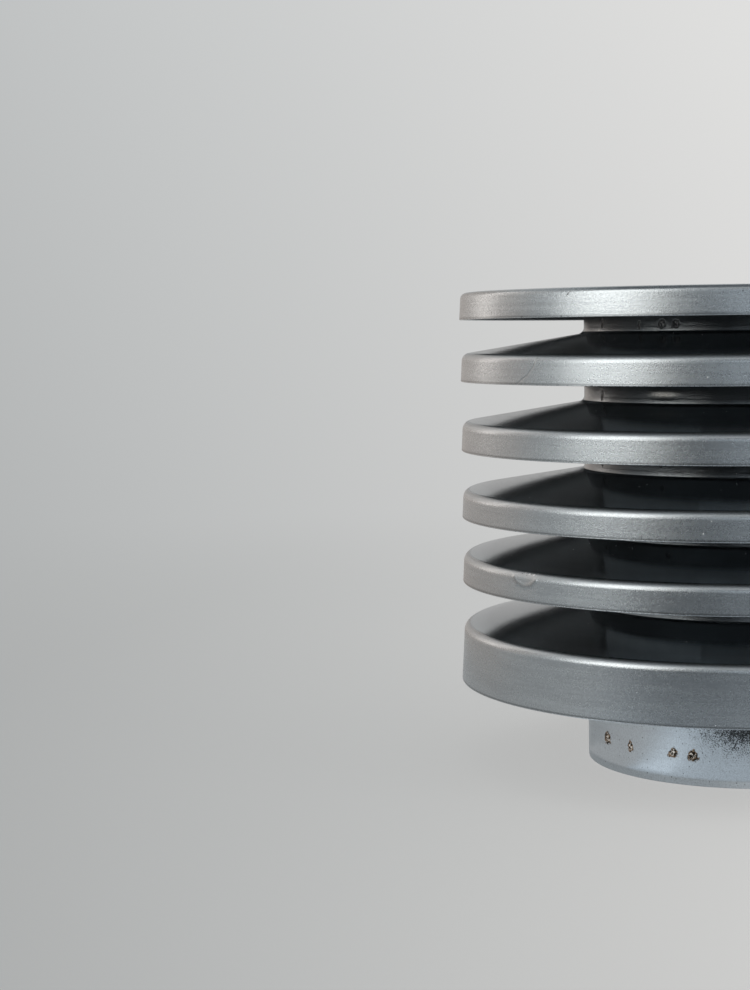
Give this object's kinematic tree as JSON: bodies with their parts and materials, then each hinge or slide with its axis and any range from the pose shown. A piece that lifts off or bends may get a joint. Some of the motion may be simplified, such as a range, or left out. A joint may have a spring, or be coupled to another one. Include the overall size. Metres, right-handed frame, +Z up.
{
  "type": "louvered vent cap",
  "caption": "Round roof vent cap: spun sheet louvre rings stacked under a flat cap, on a spigot that goes into a round duct.",
  "frame": {"origin": "on the axis of the stack, at the lower edge of the spigot", "axes": "+Z up along the axis of the stack, from the spigot to the cap; -Y is the side seen in the picture"},
  "size_m": [0.2826, 0.2826, 0.2282],
  "materials": {
    "galvanised_sheet": "satin galvanised, spun",
    "galvanised_spigot": "satin galvanised, rolled",
    "galvanised_strap": "satin galvanised"
  },
  "bodies": {
    "root": {"top_cap": "galvanised_sheet", "louvre_ring_4": "galvanised_sheet", "louvre_ring_3": "galvanised_sheet", "louvre_ring_2": "galvanised_sheet", "louvre_ring_1": "galvanised_sheet", "base_ring": "galvanised_sheet", "spigot": "galvanised_spigot", "strap_1": "galvanised_strap", "strap_2": "galvanised_strap", "strap_3": "galvanised_strap"}
  },
  "joints": []
}
